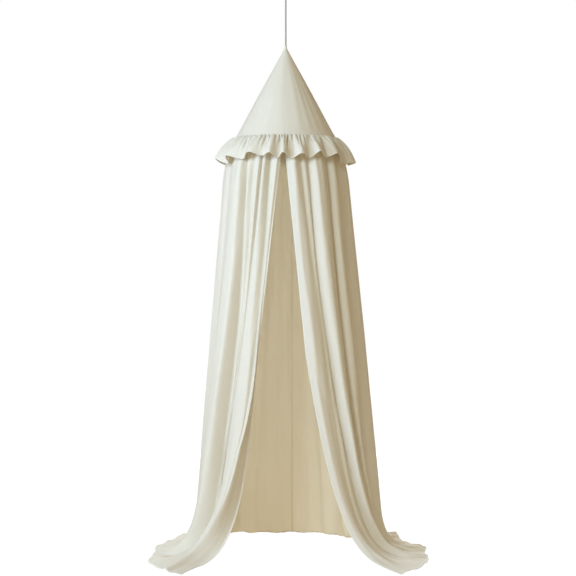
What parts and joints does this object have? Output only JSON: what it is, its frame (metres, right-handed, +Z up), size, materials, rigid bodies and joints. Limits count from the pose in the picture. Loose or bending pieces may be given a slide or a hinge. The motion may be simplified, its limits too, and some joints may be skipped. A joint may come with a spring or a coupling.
{
  "type": "hanging bed canopy with hoop",
  "caption": "Opaque cotton bed canopy hung from a ceiling hook: a cloth cone on a hoop, a gathered ruffle and two long walls parted in front and trailing on the floor.",
  "frame": {"origin": "centre of the ceiling plate's flat top face, 2.78 m above the floor that the walls trail on", "axes": "+Z up, -Y towards the front opening, +X to the right seen from the front"},
  "size_m": [1.3274, 1.1034, 2.78],
  "materials": {
    "cloth": "plain-woven cream cotton muslin, matt, slightly translucent",
    "rope": "twisted off-white cotton rope",
    "hoop": "smooth off-white plastic",
    "hook": "white enamelled steel"
  },
  "bodies": {
    "root": {"crown": "cloth", "ruffle": "cloth", "wall_left": "cloth", "wall_right": "cloth", "hoop": "hoop", "ceiling_hook": "hook", "rope_loop": "rope", "upper_knot": "rope", "rope": "rope", "stop_knot": "rope"}
  },
  "joints": []
}
